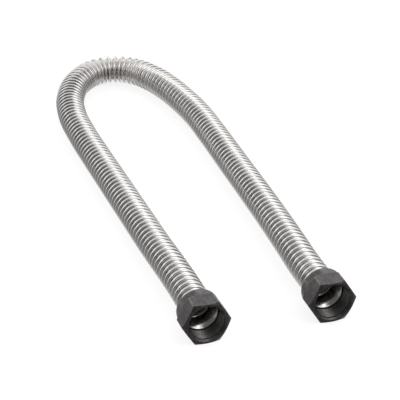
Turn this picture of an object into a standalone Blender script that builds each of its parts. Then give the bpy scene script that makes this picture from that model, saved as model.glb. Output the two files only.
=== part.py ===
"""Flexible corrugated metal suction hose, bent into a U, with a swivel flare nut on each end.

The hose is one thin tube: annular corrugations along nearly its whole length, a plain cuff at
each end and a 45 degree flare on each cuff. A nut turns freely on each cuff, held between the
flare and the first corrugation. X runs from the first leg to the second, Y runs from the nuts
to the bend, and the hose lies on Z = 0.
"""

import math

import bmesh
import bpy
from mathutils import Matrix, Vector
from mathutils.geometry import interpolate_bezier

MM = 0.001
COLLECTION_NAME = "suction_hose"
CUTTER_COLLECTION_NAME = "cutters"

# Hose
CREST_DIAMETER = 21.0 * MM
ROOT_DIAMETER = 16.6 * MM
HOSE_WALL = 0.4 * MM
CORRUGATION_PITCH = 4.99 * MM
HOSE_SIDES = 16
BORE_STATION_SPACING = 34.0 * MM
BORE_STATION_TURN = math.radians(12.0)

# Flare on each end of the hose
FLARE_ANGLE = math.radians(45.0)
FLARE_LIP_CLEARANCE = 0.3 * MM
FLARE_SEAT_GAP = 0.3 * MM

# Nut
HEX_SIDES = 6
ACROSS_FLATS = 27.0 * MM
NUT_LENGTH = 20.5 * MM
HEX_LENGTH = 11.0 * MM
HEX_RUNOUT_ANGLE = math.radians(42.0)
FRONT_CHAMFER_ANGLE = math.radians(30.0)
FRONT_FACE_DIAMETER = 26.6 * MM
COLLAR_DIAMETER = 26.8 * MM
COLLAR_ROUNDING = 2.0 * MM
THREAD_MINOR_DIAMETER = 22.1 * MM
THREAD_DEPTH = 13.0 * MM
MOUTH_DIAMETER = 24.2 * MM
NUT_RUNNING_GAP = 0.35 * MM
NUT_END_GAP = 0.8 * MM
TURNED_STEPS = 48
COLLAR_ROUNDING_STEPS = 6
CUT_MARGIN = 1.0 * MM

# Route of the hose's centre line, from the front of one nut to the front of the other.
# The first three and the last three points lie on the axes of the nuts.
FIRST_AXIS_X = 0.0 * MM
SECOND_AXIS_X = 78.2 * MM
FIRST_FRONT_Y = 0.0 * MM
SECOND_FRONT_Y = -4.0 * MM
STRAIGHT_STEP = 24.0 * MM
NUT_AXIS_Z = ACROSS_FLATS / 2.0
BEND_Z = CREST_DIAMETER / 2.0
# Each point is x and y in millimetres, and how much of the way it has sunk from the height of
# the nuts' axes to the height at which the hose lies on the surface.
BENT_ROUTE = (
    (-0.6, 74.0, 0.12),
    (-1.5, 104.0, 0.35),
    (-2.0, 142.0, 0.58),
    (-2.7, 190.0, 0.80),
    (-3.5, 237.0, 0.95),
    (-4.0, 280.0, 1.0),
    (-2.2, 317.0, 1.0),
    (5.2, 349.0, 1.0),
    (18.0, 372.0, 1.0),
    (33.5, 383.5, 1.0),
    (49.0, 383.0, 1.0),
    (62.5, 373.5, 1.0),
    (71.8, 356.0, 1.0),
    (77.7, 335.0, 1.0),
    (81.6, 311.0, 1.0),
    (84.2, 283.0, 1.0),
    (84.4, 246.0, 0.93),
    (83.4, 203.0, 0.75),
    (82.3, 155.0, 0.48),
    (80.9, 108.0, 0.22),
    (79.4, 72.0, 0.05),
)
ROUTE_RESOLUTION = 16


def clear_scene():
    for existing in list(bpy.data.objects):
        bpy.data.objects.remove(existing, do_unlink=True)


def new_collection(name):
    collection = bpy.data.collections.new(name)
    bpy.context.scene.collection.children.link(collection)
    return collection


def new_material(name, colour, roughness, metallic):
    material = bpy.data.materials.new(name)
    material.use_nodes = True
    shader = material.node_tree.nodes["Principled BSDF"]
    shader.inputs["Base Color"].default_value = (*colour, 1.0)
    shader.inputs["Roughness"].default_value = roughness
    shader.inputs["Metallic"].default_value = metallic
    material.diffuse_color = (*colour, 1.0)
    return material


def hide_guide(guide):
    guide.hide_render = True
    guide.display_type = "WIRE"


def route_points():
    """The centre line's points in metres, with both ends straight along the nuts' axes."""
    points = []
    for step in range(3):
        points.append((FIRST_AXIS_X, FIRST_FRONT_Y + step * STRAIGHT_STEP, NUT_AXIS_Z))
    for x, y, sunk in BENT_ROUTE:
        points.append((x * MM, y * MM, NUT_AXIS_Z + sunk * (BEND_Z - NUT_AXIS_Z)))
    for step in (2, 1, 0):
        points.append((SECOND_AXIS_X, SECOND_FRONT_Y + step * STRAIGHT_STEP, NUT_AXIS_Z))
    return points


def make_route(collection):
    """A smooth Bezier curve through the route's points; the hose is bent along it."""
    curve = bpy.data.curves.new("hose_route", "CURVE")
    curve.dimensions = "3D"
    curve.twist_mode = "Z_UP"
    curve.resolution_u = ROUTE_RESOLUTION
    curve.use_deform_bounds = False
    spline = curve.splines.new("BEZIER")
    points = route_points()
    spline.bezier_points.add(len(points) - 1)
    for bezier_point, position in zip(spline.bezier_points, points):
        bezier_point.co = position
        bezier_point.handle_left_type = "AUTO"
        bezier_point.handle_right_type = "AUTO"
    route = bpy.data.objects.new("hose_route", curve)
    collection.objects.link(route)
    hide_guide(route)
    bpy.context.view_layer.update()
    return route


def route_line(route):
    """The route as a fine line of points."""
    bezier_points = route.data.splines[0].bezier_points
    line = []
    for start, end in zip(bezier_points, bezier_points[1:]):
        piece = interpolate_bezier(
            start.co, start.handle_right, end.handle_left, end.co, ROUTE_RESOLUTION + 1
        )
        line.extend(piece if not line else piece[1:])
    return line


def bore_stations(line, start, end):
    """Distances along the hose where its smooth bore needs a ring: close together in the bend."""
    stations = [start]
    distance = 0.0
    turned = 0.0
    for before, here, after in zip(line, line[1:], line[2:]):
        distance += (here - before).length
        turned += (here - before).angle(after - here)
        run = distance - stations[-1]
        wanted = turned >= BORE_STATION_TURN or run >= BORE_STATION_SPACING
        if wanted and start < distance < end and run > HOSE_WALL:
            stations.append(distance)
            turned = 0.0
    last_run = end - stations[-1]
    if len(stations) > 1 and last_run < CORRUGATION_PITCH:
        stations.pop()
    stations.append(end)
    return stations


def rear_bore_radius():
    return ROOT_DIAMETER / 2.0 + NUT_RUNNING_GAP


def seat_rear():
    """How far behind the nut's front face its conical seat meets the rear bore."""
    return THREAD_DEPTH + (THREAD_MINOR_DIAMETER / 2.0 - rear_bore_radius()) / math.tan(FLARE_ANGLE)


def flare_back(radius):
    """Distance behind the nut's front face of the flare's rear surface at a radius."""
    gap = FLARE_SEAT_GAP / math.sin(FLARE_ANGLE)
    return seat_rear() - gap - (radius - rear_bore_radius()) / math.tan(FLARE_ANGLE)


def hose_profile(line):
    """Closed outline of the hose's wall as (radius, distance) points, as if it were straight."""
    length = sum((b - a).length for a, b in zip(line, line[1:]))
    root_radius = ROOT_DIAMETER / 2.0
    crest_radius = CREST_DIAMETER / 2.0
    bore_radius = root_radius - HOSE_WALL
    lip_radius = THREAD_MINOR_DIAMETER / 2.0 - FLARE_LIP_CLEARANCE
    lip_shift = HOSE_WALL * math.cos(FLARE_ANGLE)
    lip_rise = HOSE_WALL * math.sin(FLARE_ANGLE)
    flare_face_shift = HOSE_WALL / math.sin(FLARE_ANGLE)

    cuff_start = flare_back(root_radius)
    bore_start = flare_back(bore_radius) - flare_face_shift
    corrugated_start = NUT_LENGTH + NUT_END_GAP
    corrugated_length = length - 2.0 * corrugated_start
    count = round(corrugated_length / CORRUGATION_PITCH)
    pitch = corrugated_length / count

    outer = [(lip_radius, flare_back(lip_radius)), (root_radius, cuff_start)]
    outer.append((root_radius, corrugated_start))
    for index in range(count):
        start = corrugated_start + index * pitch
        outer.append((crest_radius, start + pitch / 2.0))
        outer.append((root_radius, start + pitch))
    outer.append((root_radius, length - cuff_start))
    outer.append((lip_radius, length - flare_back(lip_radius)))

    lip_front = (lip_radius - lip_shift, flare_back(lip_radius) - lip_rise)
    inner = [lip_front]
    for station in bore_stations(line, bore_start, length - bore_start):
        inner.append((bore_radius, station))
    inner.append((lip_front[0], length - lip_front[1]))
    return outer[::-1] + inner


def turned_mesh(name, profile, closed):
    """A mesh of edges in the XZ plane, ready for a Screw modifier about Z."""
    edges = [(index, index + 1) for index in range(len(profile) - 1)]
    if closed:
        edges.append((len(profile) - 1, 0))
    mesh = bpy.data.meshes.new(name)
    mesh.from_pydata([(radius, 0.0, height) for radius, height in profile], edges, [])
    return mesh


def add_screw(target, steps):
    screw = target.modifiers.new("turned", "SCREW")
    screw.axis = "Z"
    screw.angle = 2.0 * math.pi
    screw.steps = steps
    screw.render_steps = steps
    screw.use_merge_vertices = True
    screw.merge_threshold = 0.00001
    screw.use_smooth_shade = True


def make_hose(collection, guides, material):
    route = make_route(guides)
    mesh = turned_mesh("hose", hose_profile(route_line(route)), closed=True)
    mesh.materials.append(material)
    hose = bpy.data.objects.new("hose", mesh)
    collection.objects.link(hose)
    add_screw(hose, HOSE_SIDES)
    bend = hose.modifiers.new("bent_along_route", "CURVE")
    bend.object = route
    bend.deform_axis = "POS_Z"
    return hose


def hex_corner_radius():
    """From the nut's axis to a corner of its hexagon."""
    return ACROSS_FLATS / 2.0 / math.cos(math.pi / HEX_SIDES)


def hex_bar_mesh(name):
    """A hexagonal bar along Z, longer than the nut at both ends, with corners on X."""
    mesh = bpy.data.meshes.new(name)
    bar = bmesh.new()
    bmesh.ops.create_cone(
        bar,
        cap_ends=True,
        segments=HEX_SIDES,
        radius1=hex_corner_radius(),
        radius2=hex_corner_radius(),
        depth=NUT_LENGTH + 2.0 * CUT_MARGIN,
    )
    turn = Matrix.Rotation(math.pi / HEX_SIDES, 4, "Z")
    middle = Matrix.Translation((0.0, 0.0, NUT_LENGTH / 2.0))
    bmesh.ops.transform(bar, matrix=middle @ turn, verts=bar.verts)
    bar.to_mesh(mesh)
    bar.free()
    return mesh


def turned_outside_profile():
    """The nut's turned outside, rear to front: rounded collar, corner run-out, front chamfer."""
    corner_radius = hex_corner_radius()
    clear_radius = corner_radius + CUT_MARGIN
    collar_radius = COLLAR_DIAMETER / 2.0
    front_radius = FRONT_FACE_DIAMETER / 2.0
    round_centre = (collar_radius - COLLAR_ROUNDING, NUT_LENGTH - COLLAR_ROUNDING)
    profile = [(0.0, NUT_LENGTH)]
    for step in range(COLLAR_ROUNDING_STEPS + 1):
        angle = math.pi / 2.0 * (1.0 - step / COLLAR_ROUNDING_STEPS)
        radius = round_centre[0] + COLLAR_ROUNDING * math.cos(angle)
        height = round_centre[1] + COLLAR_ROUNDING * math.sin(angle)
        profile.append((radius, height))
    runout_slope = math.tan(HEX_RUNOUT_ANGLE)
    profile.append((collar_radius, HEX_LENGTH + (corner_radius - collar_radius) * runout_slope))
    profile.append((clear_radius, HEX_LENGTH - CUT_MARGIN * runout_slope))
    chamfer_slope = math.tan(FRONT_CHAMFER_ANGLE)
    profile.append((clear_radius, (clear_radius - front_radius) * chamfer_slope))
    profile.append((front_radius, 0.0))
    profile.append((0.0, 0.0))
    return profile


def bore_profile():
    """The nut's inside, rear to front: cuff bore, conical seat, thread bore, mouth chamfer."""
    rear_radius = rear_bore_radius()
    thread_radius = THREAD_MINOR_DIAMETER / 2.0
    mouth_radius = MOUTH_DIAMETER / 2.0
    mouth_depth = mouth_radius - thread_radius
    return [
        (0.0, NUT_LENGTH + CUT_MARGIN),
        (rear_radius, NUT_LENGTH + CUT_MARGIN),
        (rear_radius, seat_rear()),
        (thread_radius, THREAD_DEPTH),
        (thread_radius, mouth_depth),
        (mouth_radius + CUT_MARGIN, -CUT_MARGIN),
        (0.0, -CUT_MARGIN),
    ]


def make_turned_cutter(name, profile, collection):
    cutter = bpy.data.objects.new(name, turned_mesh(name, profile, closed=False))
    collection.objects.link(cutter)
    add_screw(cutter, TURNED_STEPS)
    hide_guide(cutter)
    return cutter


def place_on_axis(target, axis_x, front_y):
    """Lay a nut, or a cutter of one, along Y with its mouth towards -Y."""
    target.location = (axis_x, front_y, NUT_AXIS_Z)
    target.rotation_euler = (math.radians(-90.0), 0.0, 0.0)


def make_nut(name, axis_x, front_y, collection, cutters, material):
    mesh = hex_bar_mesh(name)
    mesh.materials.append(material)
    nut = bpy.data.objects.new(name, mesh)
    collection.objects.link(nut)
    outside = make_turned_cutter(name + "_outside", turned_outside_profile(), cutters)
    bore = make_turned_cutter(name + "_bore", bore_profile(), cutters)
    for operation, cutter in (("INTERSECT", outside), ("DIFFERENCE", bore)):
        boolean = nut.modifiers.new(cutter.name, "BOOLEAN")
        boolean.operation = operation
        boolean.solver = "EXACT"
        boolean.object = cutter
    for target in (nut, outside, bore):
        place_on_axis(target, axis_x, front_y)
    return nut


def evaluated_corners(targets):
    """Lowest and highest corner of the finished pieces together."""
    depsgraph = bpy.context.evaluated_depsgraph_get()
    low = Vector((math.inf, math.inf, math.inf))
    high = -low
    for target in targets:
        evaluated = target.evaluated_get(depsgraph)
        for vertex in evaluated.data.vertices:
            position = evaluated.matrix_world @ vertex.co
            low = Vector(map(min, low, position))
            high = Vector(map(max, high, position))
    return low, high


def centre_on_origin(pieces, guides):
    """Hang everything on one empty, so that the origin is below the middle of the hose."""
    low, high = evaluated_corners(pieces)
    origin = bpy.data.objects.new("hose_origin", None)
    guides.objects.link(origin)
    origin.location = (-(low.x + high.x) / 2.0, -(low.y + high.y) / 2.0, -low.z)
    for child in bpy.data.objects:
        if child is not origin:
            child.parent = origin
    bpy.context.view_layer.update()


def main():
    clear_scene()
    hose_parts = new_collection(COLLECTION_NAME)
    guides = new_collection(CUTTER_COLLECTION_NAME)
    steel = new_material("stainless_steel", (0.72, 0.71, 0.70), 0.22, 1.0)
    oxide = new_material("black_oxide_steel", (0.055, 0.055, 0.058), 0.42, 0.7)

    pieces = [make_hose(hose_parts, guides, steel)]
    pieces.append(make_nut("nut_a", FIRST_AXIS_X, FIRST_FRONT_Y, hose_parts, guides, oxide))
    pieces.append(make_nut("nut_b", SECOND_AXIS_X, SECOND_FRONT_Y, hose_parts, guides, oxide))
    bpy.context.view_layer.update()
    centre_on_origin(pieces, guides)


main()
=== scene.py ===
# %% [markdown]
# # A corrugated metal hose with two swivel nuts
#
# The real object is a suction hose that carries hot oil to a pump. Its body is one thin stainless
# tube, pressed into rings so that it can be bent by hand. On each end sits a black steel nut that
# turns freely and pulls the tube's flared end against a fitting.
#
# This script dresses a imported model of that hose. The model holds the sizes and the joints, and
# the script makes the surfaces that the eye sees: the fine rings, the thread, the edges of the
# hexagon and the two metals. Everything is in metres, with +Z up.

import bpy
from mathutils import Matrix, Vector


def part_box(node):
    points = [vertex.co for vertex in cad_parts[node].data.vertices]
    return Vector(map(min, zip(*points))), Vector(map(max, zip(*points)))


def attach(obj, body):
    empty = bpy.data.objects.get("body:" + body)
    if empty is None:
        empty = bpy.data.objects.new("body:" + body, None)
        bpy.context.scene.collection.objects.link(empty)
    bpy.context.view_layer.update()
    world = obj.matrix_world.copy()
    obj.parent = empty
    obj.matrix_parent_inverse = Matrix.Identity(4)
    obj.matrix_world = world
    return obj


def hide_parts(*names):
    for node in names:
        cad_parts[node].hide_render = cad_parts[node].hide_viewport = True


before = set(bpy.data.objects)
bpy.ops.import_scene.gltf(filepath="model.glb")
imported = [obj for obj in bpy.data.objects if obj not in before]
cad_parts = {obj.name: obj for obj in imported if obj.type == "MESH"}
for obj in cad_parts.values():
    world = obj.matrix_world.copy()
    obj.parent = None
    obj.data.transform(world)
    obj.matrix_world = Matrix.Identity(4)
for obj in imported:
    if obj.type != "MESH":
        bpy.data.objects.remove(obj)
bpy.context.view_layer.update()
print("Pieces in the model:", ", ".join(sorted(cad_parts)))

# %% Blender's modules and the scene
import math

import bpy
from mathutils import Matrix, Vector
from mathutils.geometry import interpolate_bezier

MM = 0.001
scene = bpy.context.scene
scene.view_settings.view_transform = "Standard"
print("Colours are shown by:", scene.view_settings.view_transform)

# %% [markdown]
# ## The camera
#
# The photograph looks down on the two nuts from the front left, through a long lens, so the legs
# of the hose hardly converge. A camera is three choices: where it stands, where it looks, and how
# long its lens is. A Track To constraint could aim it at the hose, but it can't hold the camera a
# little out of level, as this one was. So the turn is built from three rotations in the order a
# photographer would make them: swing to the side, tilt down, then level the camera.

# %% Place the camera
CAMERA_PLACE = Vector((-0.2931, -1.0223, 0.5633))
CAMERA_SWING = math.radians(16.93)
CAMERA_TILT = math.radians(28.34)
CAMERA_LEVEL = math.radians(-2.10)
CAMERA_LENS = 155.9

camera = bpy.data.objects.new("camera", bpy.data.cameras.new("camera"))
scene.collection.objects.link(camera)
camera.data.lens = CAMERA_LENS
swing = Matrix.Rotation(-CAMERA_SWING, 4, "Z")
tilt = Matrix.Rotation(math.pi / 2.0 - CAMERA_TILT, 4, "X")
level = Matrix.Rotation(CAMERA_LEVEL, 4, "Z")
camera.matrix_world = Matrix.Translation(CAMERA_PLACE) @ swing @ tilt @ level
scene.camera = camera
print("Camera to the middle of the hose:", round(CAMERA_PLACE.length, 3), "m")

# %% [markdown]
# ## The route of the hose
#
# A bent hose is a straight hose laid along a line, so the line comes first. It runs straight out
# of the first nut, sinks to the surface it lies on, turns back in one wide bend and rises again
# to the second nut. The points are listed, and a Bezier curve with automatic handles joins them
# smoothly. The nuts are wider than the hose, which is why both ends are held above
# the surface while the bend rests on it.

# %% Points of the route
CREST_DIAMETER = 21.0 * MM
ACROSS_FLATS = 27.0 * MM
SECOND_AXIS_X = 78.2 * MM
SECOND_FRONT_Y = -4.0 * MM
STRAIGHT_STEP = 24.0 * MM
NUT_AXIS_Z = ACROSS_FLATS / 2.0
BEND_Z = CREST_DIAMETER / 2.0
# Each point is x and y in millimetres, and how much of the way it has sunk from the height of
# the nuts' axes to the height at which the hose lies on the surface.
BENT_ROUTE = (
    (-0.6, 74.0, 0.12),
    (-1.5, 104.0, 0.35),
    (-2.0, 142.0, 0.58),
    (-2.7, 190.0, 0.80),
    (-3.5, 237.0, 0.95),
    (-4.0, 280.0, 1.0),
    (-2.2, 317.0, 1.0),
    (5.2, 349.0, 1.0),
    (18.0, 372.0, 1.0),
    (33.5, 383.5, 1.0),
    (49.0, 383.0, 1.0),
    (62.5, 373.5, 1.0),
    (71.8, 356.0, 1.0),
    (77.7, 335.0, 1.0),
    (81.6, 311.0, 1.0),
    (84.2, 283.0, 1.0),
    (84.4, 246.0, 0.93),
    (83.4, 203.0, 0.75),
    (82.3, 155.0, 0.48),
    (80.9, 108.0, 0.22),
    (79.4, 72.0, 0.05),
)

# The route is measured from the front of the first nut, so the model says where that is.
nut_low, nut_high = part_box("nut_a")
ROUTE_START = Vector(((nut_low.x + nut_high.x) / 2.0, nut_low.y, nut_low.z))


def route_points():
    """The centre line's points, from the front of one nut to the front of the other."""
    points = []
    for step in range(3):
        points.append((0.0, step * STRAIGHT_STEP, NUT_AXIS_Z))
    for x, y, sunk in BENT_ROUTE:
        points.append((x * MM, y * MM, NUT_AXIS_Z + sunk * (BEND_Z - NUT_AXIS_Z)))
    for step in (2, 1, 0):
        points.append((SECOND_AXIS_X, SECOND_FRONT_Y + step * STRAIGHT_STEP, NUT_AXIS_Z))
    return [ROUTE_START + Vector(point) for point in points]


print("Points on the route:", len(route_points()))

# %% [markdown]
# A curve in Blender also says which way is up along it. Twist mode Z_UP keeps the hose from
# rolling round its own axis as it goes through the bend, as a real hose doesn't roll either.

# %% Draw the route and measure it
ROUTE_RESOLUTION = 32


def make_route():
    curve = bpy.data.curves.new("route", "CURVE")
    curve.dimensions = "3D"
    curve.twist_mode = "Z_UP"
    curve.resolution_u = ROUTE_RESOLUTION
    spline = curve.splines.new("BEZIER")
    points = route_points()
    spline.bezier_points.add(len(points) - 1)
    for bezier_point, place in zip(spline.bezier_points, points):
        bezier_point.co = place
        bezier_point.handle_left_type = "AUTO"
        bezier_point.handle_right_type = "AUTO"
    made = bpy.data.objects.new("route", curve)
    scene.collection.objects.link(made)
    bpy.context.view_layer.update()
    return made


def fine_line(curve_object):
    """The curve as many short straight steps, each with its distance from the start."""
    knots = curve_object.data.splines[0].bezier_points
    places = [knots[0].co.copy()]
    for before, after in zip(knots, knots[1:]):
        steps = interpolate_bezier(
            before.co, before.handle_right, after.handle_left, after.co, ROUTE_RESOLUTION + 1
        )
        places.extend(steps[1:])
    distances = [0.0]
    for before, after in zip(places, places[1:]):
        distances.append(distances[-1] + (after - before).length)
    return list(zip(distances, places))


route = make_route()
route_line = fine_line(route)

# %% [markdown]
# ## Helpers for node trees
#
# The hose and the nuts follow rules: a ring every five millimetres, six flats, a helix. Geometry
# Nodes state such rules once and keep every size as a named input. The helpers below keep the
# trees readable: one adds a node and plugs in what it is given, one does arithmetic, and one runs
# a finished tree and keeps its result as a plain mesh.

# %% Add nodes and arithmetic


def plug(tree, socket, value):
    """Link a socket's input to another socket, or set it to a plain value."""
    if isinstance(value, bpy.types.NodeSocket):
        tree.links.new(value, socket)
    else:
        socket.default_value = value


def add(tree, kind, inputs=None, **settings):
    node = tree.nodes.new(kind)
    for name, value in settings.items():
        setattr(node, name, value)
    for name, value in (inputs or {}).items():
        plug(tree, node.inputs[name], value)
    return node


def calc(tree, operation, *values):
    """One step of arithmetic on numbers."""
    node = tree.nodes.new("ShaderNodeMath")
    node.operation = operation
    for socket, value in zip(node.inputs, values):
        plug(tree, socket, value)
    return node.outputs[0]


def vector_calc(tree, operation, first, second=None):
    """One step of arithmetic on vectors; SCALE takes a number as its second value."""
    node = tree.nodes.new("ShaderNodeVectorMath")
    node.operation = operation
    plug(tree, node.inputs[0], first)
    if second is not None:
        plug(tree, node.inputs["Scale"] if operation == "SCALE" else node.inputs[1], second)
    return node.outputs["Value"] if operation == "LENGTH" else node.outputs["Vector"]


def split(tree, vector):
    """The x, y and z of a vector."""
    return tuple(add(tree, "ShaderNodeSeparateXYZ", {0: vector}).outputs)


def join_xyz(tree, x, y, z):
    return add(tree, "ShaderNodeCombineXYZ", {0: x, 1: y, 2: z}).outputs[0]


def ramp(tree, value, low, high, at_low=0.0, at_high=1.0, smooth=True):
    """Go from one value to another as the input goes from low to high."""
    node = add(tree, "ShaderNodeMapRange", interpolation_type="SMOOTHSTEP" if smooth else "LINEAR")
    for socket, given in zip(node.inputs, (value, low, high, at_low, at_high)):
        plug(tree, socket, given)
    return node.outputs[0]


print("Arithmetic helpers are ready")

# %% Start a tree and bake its result


def new_tree(name, inputs):
    """A tree for a modifier, with a named input for each size."""
    tree = bpy.data.node_groups.new(name, "GeometryNodeTree")
    tree.is_modifier = True
    tree.interface.new_socket("Geometry", in_out="OUTPUT", socket_type="NodeSocketGeometry")
    for label, kind in inputs.items():
        tree.interface.new_socket(label, in_out="INPUT", socket_type="NodeSocket" + kind)
    return tree, tree.nodes.new("NodeGroupInput").outputs


def end_tree(tree, geometry, material):
    """Every tree ends the same way: real geometry, smooth, with its material."""
    real = add(tree, "GeometryNodeRealizeInstances", {"Geometry": geometry})
    smooth = add(tree, "GeometryNodeSetShadeSmooth", {"Geometry": real.outputs[0]})
    painted = {"Geometry": smooth.outputs[0], "Material": material}
    finished = add(tree, "GeometryNodeSetMaterial", painted)
    add(tree, "NodeGroupOutput", {"Geometry": finished.outputs[0]})


def bake(tree, name, outline, values):
    """Run a tree on an outline, keep the result as a plain mesh and drop the modifier."""
    target = bpy.data.objects.new(name, outline)
    scene.collection.objects.link(target)
    modifier = target.modifiers.new(tree.name, "NODES")
    modifier.node_group = tree
    for item in tree.interface.items_tree:
        if item.in_out == "INPUT" and item.name in values:
            modifier[item.identifier] = values[item.name]
    depsgraph = bpy.context.evaluated_depsgraph_get()
    target.data = bpy.data.meshes.new_from_object(target.evaluated_get(depsgraph))
    target.modifiers.clear()
    target.data.name = name
    triangles = sum(len(face.vertices) - 2 for face in target.data.polygons)
    print(name, "has", triangles, "triangles")
    return target


def outline_mesh(name, lines):
    """Lines of (radius, distance) points as a mesh of edges, drawn in the XY plane."""
    places = []
    edges = []
    for line, is_loop in lines:
        first = len(places)
        places.extend((radius, distance, 0.0) for radius, distance in line)
        edges.extend((index, index + 1) for index in range(first, len(places) - 1))
        if is_loop:
            edges.append((len(places) - 1, first))
    mesh = bpy.data.meshes.new(name)
    mesh.from_pydata(places, edges, [])
    return mesh


def turn_on_lathe(tree, outline, sides):
    """Sweep an outline of (radius, distance) points round the Z axis.

    The sweep follows a circle, and a profile's X points away from that circle's middle while
    its Y points down, so the outline is moved in by the circle's radius and turned over.
    """
    circle_radius = 10.0 * MM
    circle = add(tree, "GeometryNodeCurvePrimitiveCircle", {"Resolution": sides})
    circle.inputs["Radius"].default_value = circle_radius
    level_circle = add(tree, "GeometryNodeSetCurveNormal", {"Curve": circle.outputs[0]})
    level_circle.mode = "Z_UP"
    line = add(tree, "GeometryNodeMeshToCurve", {"Mesh": outline})
    moved = {"Geometry": line.outputs[0], "Translation": (-circle_radius, 0.0, 0.0)}
    profile = add(tree, "GeometryNodeTransform", {**moved, "Scale": (1.0, -1.0, 1.0)})
    swept = {"Curve": level_circle.outputs[0], "Profile Curve": profile.outputs[0]}
    return add(tree, "GeometryNodeCurveToMesh", swept).outputs[0]


print("Tree helpers are ready")

# %% [markdown]
# ## One corrugation
#
# The rings are not a screw thread: each one closes on itself, and the tube's sheet follows them
# inside and out. From the side, one corrugation is a wide round valley, a short steep flank and a
# narrow round crest. A sine wave would be quicker to write, but its crests would be as wide as its
# valleys. So two arcs and a straight line draw half of it. The crest's arc is chosen, the valley's
# arc then follows from the pitch and the depth, because both arcs have to meet the flank without a
# corner. The inner skin has the same centres, with radii that differ by the wall.

# %% Draw one corrugation
ROOT_DIAMETER = 16.6 * MM
HOSE_WALL = 0.4 * MM
PITCH = 4.99 * MM
CREST_ARC = 0.95 * MM
FLANK_ANGLE = math.radians(76.0)
OUTER_STEPS = (2, 3)
INNER_STEPS = (2, 1)


def valley_arc():
    """Radius of the valley's arc that lets it meet the crest's arc along one straight flank."""
    half = math.tan(FLANK_ANGLE / 2.0)
    depth = (CREST_DIAMETER - ROOT_DIAMETER) / 2.0
    rise = math.sin(FLANK_ANGLE) - half * math.cos(FLANK_ANGLE)
    flank = (depth - half * PITCH / 2.0) / rise
    return (PITCH / 2.0 - flank * math.cos(FLANK_ANGLE)) / math.sin(FLANK_ANGLE) - CREST_ARC


def corrugation(inward, steps):
    """One corrugation from valley to valley, as a skin that lies inward of the outside."""
    valley_steps, crest_steps = steps
    valley_radius = valley_arc() + inward
    crest_radius = CREST_ARC - inward
    valley_centre = ROOT_DIAMETER / 2.0 + valley_arc()
    crest_centre = CREST_DIAMETER / 2.0 - CREST_ARC
    rising = []
    for step in range(valley_steps + 1):
        angle = FLANK_ANGLE * step / valley_steps
        out = valley_centre - valley_radius * math.cos(angle)
        rising.append((out, valley_radius * math.sin(angle)))
    for step in range(crest_steps, -1, -1):
        angle = FLANK_ANGLE * step / crest_steps
        out = crest_centre + crest_radius * math.cos(angle)
        rising.append((out, PITCH / 2.0 - crest_radius * math.sin(angle)))
    falling = [(radius, PITCH - distance) for radius, distance in rising[-2::-1]]
    return rising + falling


outer_skin = (corrugation(0.0, OUTER_STEPS), False)
inner_skin = (corrugation(HOSE_WALL, INNER_STEPS), False)
ring_outline = outline_mesh("one_ring", [outer_skin, inner_skin])
print("Valley arc:", round(valley_arc() / MM, 2), "mm, crest arc:", CREST_ARC / MM, "mm")

# %% [markdown]
# ## The flared end
#
# Before the first ring the tube is plain for a short way, under the nut. Its very end is flared to
# 45 degrees, and the nut's conical seat presses on the back of that flare. This outline runs from
# the first valley along the outside, round the lip, and back along the bore. Sheet can't fold to a
# sharp corner, so the turn into the flare is an arc on both sides.

# %% Draw the flared end
NUT_LENGTH = 20.5 * MM
NUT_END_GAP = 0.8 * MM
NUT_RUNNING_GAP = 0.35 * MM
THREAD_MINOR_DIAMETER = 22.1 * MM
THREAD_DEPTH = 13.0 * MM
FLARE_ANGLE = math.radians(45.0)
FLARE_LIP_CLEARANCE = 0.3 * MM
FLARE_SEAT_GAP = 0.3 * MM
FLARE_TURN = 0.5 * MM
FLARE_STEPS = 4
FIRST_RING = NUT_LENGTH + NUT_END_GAP
REAR_BORE_RADIUS = ROOT_DIAMETER / 2.0 + NUT_RUNNING_GAP
THREAD_RADIUS = THREAD_MINOR_DIAMETER / 2.0
SEAT_REAR = THREAD_DEPTH + (THREAD_RADIUS - REAR_BORE_RADIUS) / math.tan(FLARE_ANGLE)


def flare_back(radius):
    """Distance behind the nut's front of the flare's back at a radius."""
    gap = FLARE_SEAT_GAP / math.sin(FLARE_ANGLE)
    return SEAT_REAR - gap - (radius - REAR_BORE_RADIUS) / math.tan(FLARE_ANGLE)


def arc(centre, radius, start, end, steps):
    """Points of an arc; an angle of zero points to the axis, and angles turn to the front."""
    points = []
    for step in range(steps + 1):
        angle = start + (end - start) * step / steps
        points.append((centre[0] - radius * math.cos(angle), centre[1] - radius * math.sin(angle)))
    return points


def flared_end():
    tube_radius = ROOT_DIAMETER / 2.0
    turn_start = flare_back(tube_radius) + FLARE_TURN * math.tan(FLARE_ANGLE / 2.0)
    turn_centre = (tube_radius + FLARE_TURN, turn_start)
    lip_radius = THREAD_RADIUS - FLARE_LIP_CLEARANCE
    half_wall = HOSE_WALL / 2.0
    lip_centre = (
        lip_radius - half_wall * math.cos(FLARE_ANGLE),
        flare_back(lip_radius) - half_wall * math.sin(FLARE_ANGLE),
    )
    back = arc(turn_centre, FLARE_TURN, 0.0, FLARE_ANGLE, FLARE_STEPS)
    lip = arc(lip_centre, half_wall, FLARE_ANGLE + math.pi, FLARE_ANGLE, FLARE_STEPS)
    bore = arc(turn_centre, FLARE_TURN + HOSE_WALL, FLARE_ANGLE, 0.0, FLARE_STEPS)
    start = [(tube_radius, FIRST_RING)]
    end = [(tube_radius - HOSE_WALL, FIRST_RING)]
    return start + back + lip + bore + end


end_outline = outline_mesh("flared_end", [(flared_end(), False)])

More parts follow.
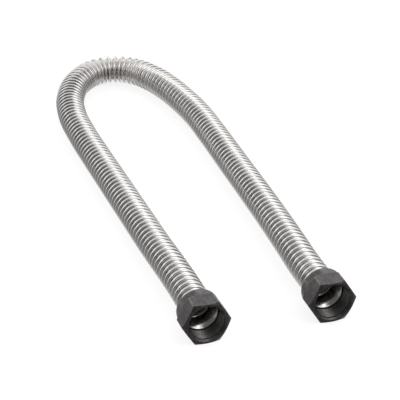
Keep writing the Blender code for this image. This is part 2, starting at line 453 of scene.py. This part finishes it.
# %% [markdown]
# ## The hose's tree
#
# An Array and a Curve modifier could make a bent row of rings too, but the ends would need a second
# object, and the rings would lean in the bend. The tree repeats the ring along a straight line,
# adds the flared outline at both ends, merges everything into one closed line and turns it on the
# lathe. That gives a straight hose, and its straight place is stored on every point, so that the
# metal's grain can follow the hose later.
#
# Last comes the bend. Each point asks the route for the place and direction at its own distance.
# In a real bend the crests stay stiff rings and only the valleys open and close, so a point near a
# crest moves with the middle of its ring, and a point in a valley follows the route itself.

# %% Build the hose's tree
HOSE_SIDES = 30
STIFF_CREST = 1.2 * MM
MERGE_DISTANCE = 0.01 * MM


def repeat_rings(tree, ring, start, spacing, count, stretch):
    """Copies of the ring's outline, one behind the other from the start."""
    places = {"Count": count, "Start Location": join_xyz(tree, 0.0, start, 0.0)}
    row = add(tree, "GeometryNodeMeshLine", {**places, "Offset": join_xyz(tree, 0.0, spacing, 0.0)})
    copies = {"Points": row.outputs[0], "Instance": ring}
    copies["Scale"] = join_xyz(tree, 1.0, stretch, 1.0)
    rings = add(tree, "GeometryNodeInstanceOnPoints", copies)
    return add(tree, "GeometryNodeRealizeInstances", {"Geometry": rings.outputs[0]}).outputs[0]


def place_on_route(tree, route_curve, distance, x, y, ahead=None):
    """Where a point of the straight hose goes when its cross-section is at a distance."""
    asked = {"Curves": route_curve, "Length": distance}
    sample = add(tree, "GeometryNodeSampleCurve", asked, mode="LENGTH")
    tangent = sample.outputs["Tangent"]
    normal = sample.outputs["Normal"]
    sideways = vector_calc(tree, "SCALE", normal, x)
    place = vector_calc(tree, "ADD", sample.outputs["Position"], sideways)
    across = vector_calc(tree, "CROSS_PRODUCT", tangent, normal)
    place = vector_calc(tree, "ADD", place, vector_calc(tree, "SCALE", across, y))
    if ahead is None:
        return place
    return vector_calc(tree, "ADD", place, vector_calc(tree, "SCALE", tangent, ahead))


def make_hose_tree():
    inputs = {"Geometry": "Geometry", "Flared End": "Object", "Route": "Object", "Pitch": "Float"}
    inputs.update({"First Ring": "Float", "Stiff Crest": "Float", "Sides": "Int"})
    inputs["Material"] = "Material"
    tree, given = new_tree("corrugated_hose", inputs)
    route_info = add(tree, "GeometryNodeObjectInfo", {"Object": given["Route"]})
    route_curve = route_info.outputs["Geometry"]
    length = add(tree, "GeometryNodeCurveLength", {"Curve": route_curve}).outputs[0]

    ringed = calc(tree, "MULTIPLY_ADD", given["First Ring"], -2.0, length)
    count = calc(tree, "ROUND", calc(tree, "DIVIDE", ringed, given["Pitch"]))
    spacing = calc(tree, "DIVIDE", ringed, count)
    stretch = calc(tree, "DIVIDE", spacing, given["Pitch"])
    rings = repeat_rings(tree, given["Geometry"], given["First Ring"], spacing, count, stretch)

    near_end = add(tree, "GeometryNodeObjectInfo", {"Object": given["Flared End"]})
    mirrored = {"Geometry": near_end.outputs["Geometry"], "Scale": (1.0, -1.0, 1.0)}
    mirrored["Translation"] = join_xyz(tree, 0.0, length, 0.0)
    far_end = add(tree, "GeometryNodeTransform", mirrored)
    joined = add(tree, "GeometryNodeJoinGeometry")
    for piece in (rings, near_end.outputs["Geometry"], far_end.outputs[0]):
        tree.links.new(piece, joined.inputs[0])
    loose = {"Geometry": joined.outputs[0], "Distance": MERGE_DISTANCE}
    outline = add(tree, "GeometryNodeMergeByDistance", loose).outputs[0]
    straight = turn_on_lathe(tree, outline, given["Sides"])

    place = add(tree, "GeometryNodeInputPosition").outputs[0]
    stored = {"Geometry": straight, "Name": "straight_place", "Value": place}
    kept = add(tree, "GeometryNodeStoreNamedAttribute", stored, data_type="FLOAT_VECTOR")

    x, y, distance = split(tree, place)
    past_first = calc(tree, "SUBTRACT", distance, given["First Ring"])
    ring_number = calc(tree, "FLOOR", calc(tree, "DIVIDE", past_first, spacing))
    ring_middle = calc(tree, "ADD", ring_number, 0.5)
    middle = calc(tree, "MULTIPLY_ADD", ring_middle, spacing, given["First Ring"])
    ahead = calc(tree, "SUBTRACT", distance, middle)
    half = calc(tree, "MULTIPLY", spacing, 0.5)
    stiffness = ramp(tree, calc(tree, "ABSOLUTE", ahead), given["Stiff Crest"], half, 1.0, 0.0)
    soft = place_on_route(tree, route_curve, distance, x, y)
    stiff = place_on_route(tree, route_curve, middle, x, y, ahead)
    change = vector_calc(tree, "SCALE", vector_calc(tree, "SUBTRACT", stiff, soft), stiffness)
    bent = {"Geometry": kept.outputs[0], "Position": vector_calc(tree, "ADD", soft, change)}
    end_tree(tree, add(tree, "GeometryNodeSetPosition", bent).outputs[0], given["Material"])
    return tree


hose_tree = make_hose_tree()
print("Nodes in the hose's tree:", len(hose_tree.nodes))

# %% [markdown]
# ## Bright stainless steel
#
# The tube is bright annealed steel, almost a mirror, and yet not a clean one. Drawing the tube left
# fine lines along it, pressing the rings dulled the valleys, and handling rubbed the crests. The
# valleys are also painted darker and warmer, as painted shade for the shadow that falls between the
# rings. All of this is read from the straight place that the tree stored: it follows every bend and
# has no seam.

# %% Helpers for materials


def new_material(name, colour):
    made = bpy.data.materials.new(name)
    made.use_nodes = True
    made.diffuse_color = (*colour, 1.0)
    shader = made.node_tree.nodes["Principled BSDF"]
    return made, made.node_tree, shader


def noise(tree, place, scale, detail=3.0):
    """A noise between about 0.3 and 0.7; scale holds the patches per metre along x, y and z."""
    stretched = vector_calc(tree, "MULTIPLY", place, scale)
    given = {"Vector": stretched, "Scale": 1.0, "Detail": detail}
    return add(tree, "ShaderNodeTexNoise", given).outputs[0]


def mix_colour(tree, share, first, second):
    node = add(tree, "ShaderNodeMix", data_type="RGBA")
    colours = [socket for socket in node.inputs if socket.type == "RGBA"]
    plug(tree, node.inputs[0], share)
    plug(tree, colours[0], first)
    plug(tree, colours[1], second)
    return next(socket for socket in node.outputs if socket.type == "RGBA")


def bump(tree, height, strength, distance):
    raised = {"Height": height, "Strength": strength, "Distance": distance}
    return add(tree, "ShaderNodeBump", raised).outputs[0]


def stored_place(tree, name):
    return add(tree, "ShaderNodeAttribute", attribute_name=name).outputs["Vector"]


print("Material helpers are ready")

# %% Make the stainless steel
STEEL_COLOUR = (0.76, 0.745, 0.735)
STEEL_CLOUD = (0.70, 0.68, 0.665)
# Painted shade: the colour that the valleys between the rings are darkened towards.
STEEL_VALLEY_SHADE = (0.54, 0.51, 0.485)
STEEL_ROUGHNESS = 0.10
VALLEY_DULL = 0.08
HANDLED_DULL = 0.08
# How much of the painted valley shade is mixed into the steel's colour.
VALLEY_SHADE_SHARE = 0.6
RUBBED_CREST = 0.3 * MM
# Patches per metre round the tube, round the tube and along it.
DRAWN_LINES = (2600.0, 2600.0, 70.0)
DRAWN_LINE_DULL = 0.12
DRAWN_LINE_DEPTH = 0.02 * MM
CLOUDS = (90.0, 90.0, 60.0)
CLOUD_EDGES = (0.35, 0.65)


def make_stainless():
    made, tree, shader = new_material("bright_stainless", STEEL_COLOUR)
    place = stored_place(tree, "straight_place")
    x, y, distance = split(tree, place)
    radius = vector_calc(tree, "LENGTH", join_xyz(tree, x, y, 0.0))
    lines = noise(tree, place, DRAWN_LINES)
    clouds = noise(tree, place, CLOUDS)
    valley = ramp(tree, radius, ROOT_DIAMETER / 2.0, CREST_DIAMETER / 2.0 - CREST_ARC, 1.0, 0.0)
    crest = ramp(tree, radius, CREST_DIAMETER / 2.0 - RUBBED_CREST, CREST_DIAMETER / 2.0)
    clouded = ramp(tree, clouds, *CLOUD_EDGES)
    colour = mix_colour(tree, clouded, (*STEEL_COLOUR, 1.0), (*STEEL_CLOUD, 1.0))
    # Painted shade: the colour darkens in the valleys between the rings, where shadow falls.
    valley_shade = calc(tree, "MULTIPLY", valley, VALLEY_SHADE_SHARE)
    colour = mix_colour(tree, valley_shade, colour, (*STEEL_VALLEY_SHADE, 1.0))
    tree.links.new(colour, shader.inputs["Base Color"])
    roughness = calc(tree, "MULTIPLY_ADD", lines, DRAWN_LINE_DULL, STEEL_ROUGHNESS)
    roughness = calc(tree, "MULTIPLY_ADD", valley, VALLEY_DULL, roughness)
    handled = calc(tree, "MULTIPLY", clouded, HANDLED_DULL)
    roughness = calc(tree, "MULTIPLY_ADD", crest, handled, roughness)
    tree.links.new(roughness, shader.inputs["Roughness"])
    shader.inputs["Metallic"].default_value = 1.0
    tree.links.new(bump(tree, lines, 0.25, DRAWN_LINE_DEPTH), shader.inputs["Normal"])
    return made


stainless = make_stainless()
print("Steel colour:", STEEL_COLOUR)

# %% [markdown]
# Baking runs the tree once and keeps plain faces, which move with a body and can be exported. The
# route and the flared outline were only guides for the tree, so they go once the hose is made.

# %% Bake the hose


def guide(name, mesh):
    made = bpy.data.objects.new(name, mesh)
    scene.collection.objects.link(made)
    return made


end_guide = guide("flared_end", end_outline)
hose_sizes = {
    "Flared End": end_guide,
    "Route": route,
    "Pitch": PITCH,
    "First Ring": FIRST_RING,
    "Stiff Crest": STIFF_CREST,
    "Sides": HOSE_SIDES,
    "Material": stainless,
}
hose = bake(hose_tree, "corrugated_hose", ring_outline, hose_sizes)
for finished_guide in (end_guide, route):
    bpy.data.objects.remove(finished_guide)

# %% [markdown]
# ## The nut's outline
#
# A machinist makes this nut in three steps: a bar is turned to its outline, six flats are left or
# milled on it, and the bore is tapped. Boolean cuts could copy those steps, but they leave sharp
# edges that are hard to break evenly, so here a tree works in the same order. The outline is a
# closed loop of radius and distance: front face, front chamfer, full diameter, run-out down to the
# round collar, rounded rear, bore, conical seat and thread bore. Every corner gets a small
# rounding, because a broken edge is what catches the light on black steel.

# %% Draw the nut's outline
HEX_SIDES = 6
HEX_LENGTH = 11.0 * MM
CORNER_DIAMETER = 30.95 * MM
HEX_RUNOUT_ANGLE = math.radians(42.0)
FRONT_CHAMFER_ANGLE = math.radians(30.0)
FRONT_FACE_DIAMETER = 26.6 * MM
COLLAR_DIAMETER = 26.8 * MM
COLLAR_ROUNDING = 2.0 * MM
MOUTH_DIAMETER = 24.2 * MM
THREAD_PITCH = 1.5875 * MM
THREAD_MAJOR_DIAMETER = 23.81 * MM
ROWS_PER_THREAD = 12
EDGE_BREAK = 0.2 * MM
FINE_STEP = 0.13 * MM
PLAIN_STEP = 0.8 * MM


def nut_corners():
    """The outline's corners: radius, distance, rounding, and the row step after the corner."""
    blank = CORNER_DIAMETER / 2.0
    front = FRONT_FACE_DIAMETER / 2.0
    collar = COLLAR_DIAMETER / 2.0
    mouth = MOUTH_DIAMETER / 2.0
    sharp_corner = ACROSS_FLATS / 2.0 / math.cos(math.pi / HEX_SIDES)
    chamfer_end = (blank - front) * math.tan(FRONT_CHAMFER_ANGLE)
    runout = math.tan(HEX_RUNOUT_ANGLE)
    runout_start = HEX_LENGTH + (sharp_corner - blank) * runout
    runout_end = HEX_LENGTH + (sharp_corner - collar) * runout
    return (
        (mouth, 0.0, EDGE_BREAK, PLAIN_STEP),
        (front, 0.0, EDGE_BREAK, FINE_STEP),
        (blank, chamfer_end, EDGE_BREAK, PLAIN_STEP),
        (blank, runout_start, EDGE_BREAK, FINE_STEP),
        (collar, runout_end, EDGE_BREAK, PLAIN_STEP),
        (collar, NUT_LENGTH, COLLAR_ROUNDING, PLAIN_STEP),
        (REAR_BORE_RADIUS, NUT_LENGTH, EDGE_BREAK, PLAIN_STEP),
        (REAR_BORE_RADIUS, SEAT_REAR, EDGE_BREAK, PLAIN_STEP),
        (THREAD_RADIUS, THREAD_DEPTH, EDGE_BREAK, THREAD_PITCH / ROWS_PER_THREAD),
        (THREAD_RADIUS, mouth - THREAD_RADIUS, EDGE_BREAK, FINE_STEP),
    )


def rounded_corner(before, corner, after, rounding):
    """Replace a corner with an arc, and hold the faces beside it flat with one row each."""
    back = (before - corner).normalized()
    on = (after - corner).normalized()
    half_angle = back.angle(on) / 2.0
    reach = rounding / math.tan(half_angle)
    centre = corner + (back + on).normalized() * (rounding / math.sin(half_angle))
    first = corner + back * reach
    last = corner + on * reach
    steps = max(2, round(math.degrees(math.pi - 2.0 * half_angle) / 15.0))
    points = [first + back * EDGE_BREAK]
    for step in range(steps + 1):
        chord = first.lerp(last, step / steps)
        points.append(centre + (chord - centre).normalized() * rounding)
    points.append(last + on * EDGE_BREAK)
    return points


def nut_outline():
    corners = nut_corners()
    places = [Vector(corner[:2]) for corner in corners]
    points = []
    for index, (_, _, rounding, step) in enumerate(corners):
        ahead = (index + 1) % len(corners)
        arc_points = rounded_corner(places[index - 1], places[index], places[ahead], rounding)
        points.extend(arc_points)
        beyond = (ahead + 1) % len(corners)
        next_arc = rounded_corner(places[index], places[ahead], places[beyond], corners[ahead][2])
        run = next_arc[0] - arc_points[-1]
        rows = max(1, round(run.length / step))
        points.extend(arc_points[-1] + run * (row / rows) for row in range(1, rows))
    return [(point.x, point.y) for point in points]


nut_ring = outline_mesh("nut_outline", [(nut_outline(), True)])
print("Rows in the nut's outline:", len(nut_ring.vertices))

# %% [markdown]
# ## The nut's tree
#
# Turning is the same sweep as for the hose. Milling takes the smaller of two radii at each point,
# the turned one and the hexagon's, and a smooth minimum breaks the edge between them. Tapping
# moves the bore outwards where a helix passes: the distance along the axis, in thread pitches, less
# the share of a turn, repeats once for every turn. The columns are first drawn together at the
# six corners, because that is where the surface turns quickly.

# %% Build the nut's tree
NUT_COLUMNS = 144
COLUMN_CROWDING = 0.7
CORNER_BLEND = 0.25 * MM
WEAR_REACH = 0.35 * MM
# A unified thread is flat for a quarter of its pitch at the crest and an eighth at the root.
THREAD_FLANK = (0.25, 0.875)


def hexagon_radius(tree, angle, across_flats):
    """How far the hexagon's side is from the axis at an angle; its corners lie on X."""
    sector = 2.0 * math.pi / HEX_SIDES
    within = calc(tree, "FLOORED_MODULO", angle, sector)
    from_middle = calc(tree, "COSINE", calc(tree, "SUBTRACT", within, sector / 2.0))
    return calc(tree, "DIVIDE", calc(tree, "MULTIPLY", across_flats, 0.5), from_middle)


def thread_cut(tree, angle, distance, in_bore, given):
    """How far the thread cuts into the bore at a point."""
    turns = calc(tree, "DIVIDE", angle, 2.0 * math.pi)
    phase = calc(tree, "SUBTRACT", calc(tree, "DIVIDE", distance, given["Thread Pitch"]), turns)
    wave = calc(tree, "MULTIPLY", calc(tree, "PINGPONG", phase, 0.5), 2.0)
    shape = ramp(tree, wave, *THREAD_FLANK, smooth=False)
    start = given["Thread Start"]
    end = given["Thread End"]
    starts = ramp(tree, distance, start, calc(tree, "ADD", start, given["Thread Pitch"]))
    stops = ramp(tree, distance, calc(tree, "SUBTRACT", end, given["Thread Pitch"]), end, 1.0, 0.0)
    cut = calc(tree, "MULTIPLY", shape, given["Thread Depth"])
    for share in (starts, stops, in_bore):
        cut = calc(tree, "MULTIPLY", cut, share)
    return cut


def make_nut_tree():
    inputs = {"Geometry": "Geometry", "Columns": "Int", "Across Flats": "Float"}
    for label in ("Corner Blend", "Thread Radius", "Thread Pitch", "Thread Depth"):
        inputs[label] = "Float"
    inputs.update({"Thread Start": "Float", "Thread End": "Float", "Place": "Vector"})
    inputs["Material"] = "Material"
    tree, given = new_tree("flare_nut", inputs)
    turned = turn_on_lathe(tree, given["Geometry"], given["Columns"])

    x, y, distance = split(tree, add(tree, "GeometryNodeInputPosition").outputs[0])
    radius = vector_calc(tree, "LENGTH", join_xyz(tree, x, y, 0.0))
    even_angle = calc(tree, "ARCTAN2", y, x)
    crowding = calc(tree, "SINE", calc(tree, "MULTIPLY", even_angle, float(HEX_SIDES)))
    angle = calc(tree, "MULTIPLY_ADD", crowding, -COLUMN_CROWDING / HEX_SIDES, even_angle)

    hexagon = hexagon_radius(tree, angle, given["Across Flats"])
    milled = calc(tree, "SMOOTH_MIN", radius, hexagon, given["Corner Blend"])
    in_bore = calc(tree, "COMPARE", radius, given["Thread Radius"], MERGE_DISTANCE)
    cut = thread_cut(tree, angle, distance, in_bore, given)
    made_radius = calc(tree, "ADD", milled, cut)
    made_x = calc(tree, "MULTIPLY", calc(tree, "COSINE", angle), made_radius)
    made_y = calc(tree, "MULTIPLY", calc(tree, "SINE", angle), made_radius)
    nearness = calc(tree, "ABSOLUTE", calc(tree, "SUBTRACT", radius, hexagon))
    on_edge = ramp(tree, nearness, 0.0, WEAR_REACH, 1.0, 0.0)
    is_turned = calc(tree, "LESS_THAN", radius, hexagon)

    geometry = turned
    for name, value in (("edge_wear", on_edge), ("lathe_marks", is_turned), ("threaded", in_bore)):
        stored = {"Geometry": geometry, "Name": name, "Value": value}
        geometry = add(tree, "GeometryNodeStoreNamedAttribute", stored).outputs[0]
    made_place = {"Geometry": geometry, "Position": join_xyz(tree, made_x, made_y, distance)}
    shaped = add(tree, "GeometryNodeSetPosition", made_place).outputs[0]
    own_place = add(tree, "GeometryNodeInputPosition").outputs[0]
    stored = {"Geometry": shaped, "Name": "nut_place", "Value": own_place}
    kept = add(tree, "GeometryNodeStoreNamedAttribute", stored, data_type="FLOAT_VECTOR")
    laid = {"Geometry": kept.outputs[0], "Translation": given["Place"]}
    laid["Rotation"] = (math.radians(-90.0), 0.0, 0.0)
    end_tree(tree, add(tree, "GeometryNodeTransform", laid).outputs[0], given["Material"])
    return tree


nut_tree = make_nut_tree()
print("Nodes in the nut's tree:", len(nut_tree.nodes))

# %% [markdown]
# ## Black oxide steel
#
# The nuts are not painted. Hot salts turned the skin of the steel itself black, which keeps every
# tool mark and leaves a dark satin metal with a slight mottle. The finish is thin, so the sharp
# edges show a little bare steel. Paint would be a clear coat over a plain colour; this finish is a
# dark metal. The turned faces carry fine rings from the lathe, and the flats carry the faint
# lengthwise lines of the drawn bar, so the two marks swap where the tree stored that a face was
# turned. The thread was cut clean and greased, so it is brighter and smoother than the outside.

# %% Make the black oxide
OXIDE_COLOUR = (0.070, 0.063, 0.065)
OXIDE_MOTTLE = (0.110, 0.102, 0.102)
OXIDE_BARE = (0.32, 0.305, 0.30)
OXIDE_METALLIC = 0.85
OXIDE_ROUGHNESS = 0.24
MOTTLE_DULL = 0.22
WEAR_POLISH = -0.08
WEAR_SHARE = 0.7
THREAD_COLOUR = (0.17, 0.165, 0.16)
THREAD_ROUGHNESS = 0.18
# Patches per metre along x, y and z.
MOTTLE = (420.0, 420.0, 420.0)
MOTTLE_EDGES = (0.38, 0.66)
GRAIN = (2400.0, 2400.0, 2400.0)
GRAIN_EDGES = (0.40, 0.62)
GRAIN_HEIGHT = 0.35
BAR_LINES = (1800.0, 1800.0, 90.0)
# The lathe's rings are a sine wave, which turns by this many radians in a metre.
LATHE_TURN = 10400.0
LATHE_HEIGHT = 0.15
MARK_DEPTH = 0.03 * MM


def stored_number(tree, name):
    return add(tree, "ShaderNodeAttribute", attribute_name=name).outputs["Fac"]


def mix_number(tree, share, first, second):
    return add(tree, "ShaderNodeMix", {0: share, 2: first, 3: second}, data_type="FLOAT").outputs[0]


def make_black_oxide():
    made, tree, shader = new_material("black_oxide", OXIDE_COLOUR)
    place = stored_place(tree, "nut_place")
    turned = stored_number(tree, "lathe_marks")
    x, y, distance = split(tree, place)
    radius = vector_calc(tree, "LENGTH", join_xyz(tree, x, y, 0.0))
    mottle = noise(tree, place, MOTTLE, 5.0)
    grain = noise(tree, place, GRAIN, 2.0)
    bar_lines = noise(tree, place, BAR_LINES)
    along_cut = calc(tree, "ADD", distance, radius)
    rings = calc(tree, "SINE", calc(tree, "MULTIPLY", along_cut, LATHE_TURN))
    rings = calc(tree, "MULTIPLY_ADD", rings, LATHE_HEIGHT, 0.5)
    marks = mix_number(tree, turned, bar_lines, rings)

    scuffed = ramp(tree, grain, *GRAIN_EDGES)
    worn = calc(tree, "MULTIPLY", stored_number(tree, "edge_wear"), scuffed)
    threaded = stored_number(tree, "threaded")
    mottled = ramp(tree, mottle, *MOTTLE_EDGES)
    colour = mix_colour(tree, mottled, (*OXIDE_COLOUR, 1.0), (*OXIDE_MOTTLE, 1.0))
    colour = mix_colour(tree, calc(tree, "MULTIPLY", worn, WEAR_SHARE), colour, (*OXIDE_BARE, 1.0))
    colour = mix_colour(tree, threaded, colour, (*THREAD_COLOUR, 1.0))
    tree.links.new(colour, shader.inputs["Base Color"])
    roughness = calc(tree, "MULTIPLY_ADD", mottle, MOTTLE_DULL, OXIDE_ROUGHNESS)
    roughness = calc(tree, "MULTIPLY_ADD", worn, WEAR_POLISH, roughness)
    roughness = mix_number(tree, threaded, roughness, THREAD_ROUGHNESS)
    tree.links.new(roughness, shader.inputs["Roughness"])
    shader.inputs["Metallic"].default_value = OXIDE_METALLIC
    height = calc(tree, "MULTIPLY_ADD", grain, GRAIN_HEIGHT, marks)
    tree.links.new(bump(tree, height, 0.35, MARK_DEPTH), shader.inputs["Normal"])
    return made


black_oxide = make_black_oxide()
print("Oxide colour:", OXIDE_COLOUR)

# %% [markdown]
# The two nuts are the same, so one outline and one tree make both. Each is laid on the axis of its
# own solid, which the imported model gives.

# %% Bake the nuts
nut_sizes = {
    "Columns": NUT_COLUMNS,
    "Across Flats": ACROSS_FLATS,
    "Corner Blend": CORNER_BLEND,
    "Thread Radius": THREAD_RADIUS,
    "Thread Pitch": THREAD_PITCH,
    "Thread Depth": (THREAD_MAJOR_DIAMETER - THREAD_MINOR_DIAMETER) / 2.0,
    "Thread Start": (MOUTH_DIAMETER - THREAD_MINOR_DIAMETER) / 2.0,
    "Thread End": THREAD_DEPTH - EDGE_BREAK,
    "Material": black_oxide,
}


def make_nut(name, node):
    """One nut in the place of its solid: on the same axis, with its front in the same plane."""
    low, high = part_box(node)
    place = ((low.x + high.x) / 2.0, low.y, (low.z + high.z) / 2.0)
    return bake(nut_tree, name, nut_ring, {**nut_sizes, "Place": place})


nut_a = make_nut("flare_nut_a", "nut_a")
nut_b = make_nut("flare_nut_b", "nut_b")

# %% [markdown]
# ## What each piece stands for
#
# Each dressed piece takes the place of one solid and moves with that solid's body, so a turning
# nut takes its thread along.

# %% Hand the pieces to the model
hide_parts("hose")
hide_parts("nut_a")
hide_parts("nut_b")
for piece, body, slot in (
    (hose, "hose", "stainless"),
    (nut_a, "nut_a", "black_oxide"),
    (nut_b, "nut_b", "black_oxide"),
):
    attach(piece, body)

# %% [markdown]
# ## The floor
#
# The hose lies on a seamless white sheet. The sheet scatters a part of the light, and where the
# hose keeps that light away, its shadow stays. The rest of its white is a glow that only the
# camera sees. The steel shows a white ground too, but a polished table is bright where it faces
# the window and dim where it faces the camera. So reflections pass through the sheet and find the
# lower half of the room, which is painted that way.

# %% Lay the white sheet
SHEET_RADIUS = 8.0
SHEET_COLOUR = (0.30, 0.30, 0.30, 1.0)
SHEET_GLOW = 0.82


def make_sheet():
    made = bpy.data.materials.new("white_sheet")
    made.use_nodes = True
    tree = made.node_tree
    tree.nodes.clear()
    paths = add(tree, "ShaderNodeLightPath").outputs
    scatter = add(tree, "ShaderNodeBsdfDiffuse", {"Color": SHEET_COLOUR})
    seen = calc(tree, "MAXIMUM", paths["Is Camera Ray"], paths["Is Transmission Ray"])
    glow = add(tree, "ShaderNodeEmission", {"Strength": calc(tree, "MULTIPLY", seen, SHEET_GLOW)})
    white = add(tree, "ShaderNodeAddShader", {0: scatter.outputs[0], 1: glow.outputs[0]})
    clear = add(tree, "ShaderNodeBsdfTransparent")
    shares = {0: paths["Is Glossy Ray"], 1: white.outputs[0], 2: clear.outputs[0]}
    sheet_shader = add(tree, "ShaderNodeMixShader", shares)
    add(tree, "ShaderNodeOutputMaterial", {"Surface": sheet_shader.outputs[0]})

    bpy.ops.mesh.primitive_circle_add(vertices=96, radius=SHEET_RADIUS, fill_type="NGON")
    sheet = bpy.context.object
    sheet.name = "white_sheet"
    sheet.data.materials.append(made)
    return sheet


make_sheet()
print("Sheet radius:", SHEET_RADIUS, "m")

# %% [markdown]
# ## The room
#
# A mirror shows the room, so for bright steel the room is half of the material. The steel needs
# dark parts to show its form. This room is pale, but dark on the side where the photographer
# stands, dim low down at the front right, and a little darker overhead. Its lower half is the
# white ground that the steel shows: bright below the back, dim towards the camera and straight
# below. The camera itself looks past all this and sees plain white.

# %% Build the room
ROOM_LEVEL = 1.0
CAMERA_SIDE_LEVEL = 0.12
CEILING_LEVEL = 0.78
LOW_RIGHT_LEVEL = 0.30
GROUND_LEVELS = (0.25, 0.54)
STEEP_GROUND_GAIN = 1.9
BELOW_GAIN = 0.3
TO_CAMERA_SIDE = (-0.50, -0.87)
TO_FRONT_RIGHT = (0.71, -0.71)
TO_BACK = (0.20, 0.98)
# Where one level goes over into the next: shares of a turn to one side, or heights from -1 to 1.
CAMERA_SIDE_EDGES = (0.30, 0.62)
CAMERA_SIDE_NARROWS = -0.4
FRONT_RIGHT_EDGES = (0.55, 0.85)
LOW_EDGES = (0.22, 0.42)
CEILING_EDGES = (0.70, 0.88)
GROUND_EDGES = (-0.8, 0.7)
STEEP_EDGES = (-0.66, -0.46)
BELOW_EDGES = (-0.98, -0.88)
HORIZON_EDGES = (-0.03, 0.03)


def make_room():
    world = bpy.data.worlds.new("room")
    world.use_nodes = True
    scene.world = world
    tree = world.node_tree
    direction = add(tree, "ShaderNodeTexCoord").outputs["Generated"]
    x, y, z = split(tree, direction)
    length = vector_calc(tree, "LENGTH", join_xyz(tree, x, y, 0.0))

    def share_of(way):
        """How far a direction turns to one side of the room, from -1 to 1."""
        turned = calc(tree, "MULTIPLY_ADD", x, way[0], calc(tree, "MULTIPLY", y, way[1]))
        return calc(tree, "DIVIDE", turned, length)

    camera_side = calc(tree, "MULTIPLY_ADD", z, CAMERA_SIDE_NARROWS, share_of(TO_CAMERA_SIDE))
    walls = ramp(tree, camera_side, *CAMERA_SIDE_EDGES, ROOM_LEVEL, CAMERA_SIDE_LEVEL)
    front_right = ramp(tree, share_of(TO_FRONT_RIGHT), *FRONT_RIGHT_EDGES)
    low_right = calc(tree, "MULTIPLY", front_right, ramp(tree, z, *LOW_EDGES, 1.0, 0.0))
    walls = mix_number(tree, low_right, walls, LOW_RIGHT_LEVEL)
    upper = mix_number(tree, ramp(tree, z, *CEILING_EDGES), walls, CEILING_LEVEL)
    ground = ramp(tree, share_of(TO_BACK), *GROUND_EDGES, *GROUND_LEVELS)
    steepness = ramp(tree, z, *STEEP_EDGES, STEEP_GROUND_GAIN, 1.0)
    ground = calc(tree, "MULTIPLY", ground, steepness)
    ground = calc(tree, "MULTIPLY", ground, ramp(tree, z, *BELOW_EDGES, BELOW_GAIN, 1.0))
    level = mix_number(tree, ramp(tree, z, *HORIZON_EDGES), ground, upper)
    paths = add(tree, "ShaderNodeLightPath").outputs
    seen = calc(tree, "MAXIMUM", paths["Is Camera Ray"], paths["Is Transmission Ray"])
    level = mix_number(tree, seen, level, 1.0)
    tree.links.new(level, tree.nodes["Background"].inputs["Strength"])
    tree.nodes["Background"].inputs["Color"].default_value = (1.0, 1.0, 1.0, 1.0)


make_room()
print("Levels of the room:", CAMERA_SIDE_LEVEL, ROOM_LEVEL, CEILING_LEVEL)

# %% [markdown]
# ## The lamps
#
# Four softboxes stand round the table, all at the same distance. Each one is given as a
# photographer would note it: the compass direction in which it stands, how high it is, how wide
# and tall its cloth is, and how bright the cloth looks. A lamp's power follows from its brightness
# and its area.

# %% Place the softboxes
LAMP_DISTANCE = 1.6
# Name, direction from the back towards the right, height, width and tallness in m, brightness.
SOFTBOXES = (
    ("back_right_softbox", 30.0, 22.0, 1.7, 0.7, 0.45),
    ("left_softbox", -108.0, 38.0, 0.85, 0.75, 0.75),
    ("front_right_softbox", 138.0, 50.0, 0.9, 0.9, 1.2),
    ("low_front_softbox", 162.0, 24.0, 0.7, 0.5, 0.55),
)


def add_softbox(name, direction, height, width, tallness, brightness):
    light = bpy.data.lights.new(name, "AREA")
    light.shape = "RECTANGLE"
    light.size = width
    light.size_y = tallness
    light.energy = math.pi * width * tallness * brightness
    turn = math.radians(direction)
    lift = math.radians(height)
    level = math.cos(lift)
    away = Vector((math.sin(turn) * level, math.cos(turn) * level, math.sin(lift)))
    lamp = bpy.data.objects.new(name, light)
    lamp.location = away * LAMP_DISTANCE
    lamp.rotation_euler = (-away).to_track_quat("-Z", "Y").to_euler()
    scene.collection.objects.link(lamp)


for softbox in SOFTBOXES:
    add_softbox(*softbox)
print("Lamps:", ", ".join(softbox[0] for softbox in SOFTBOXES))
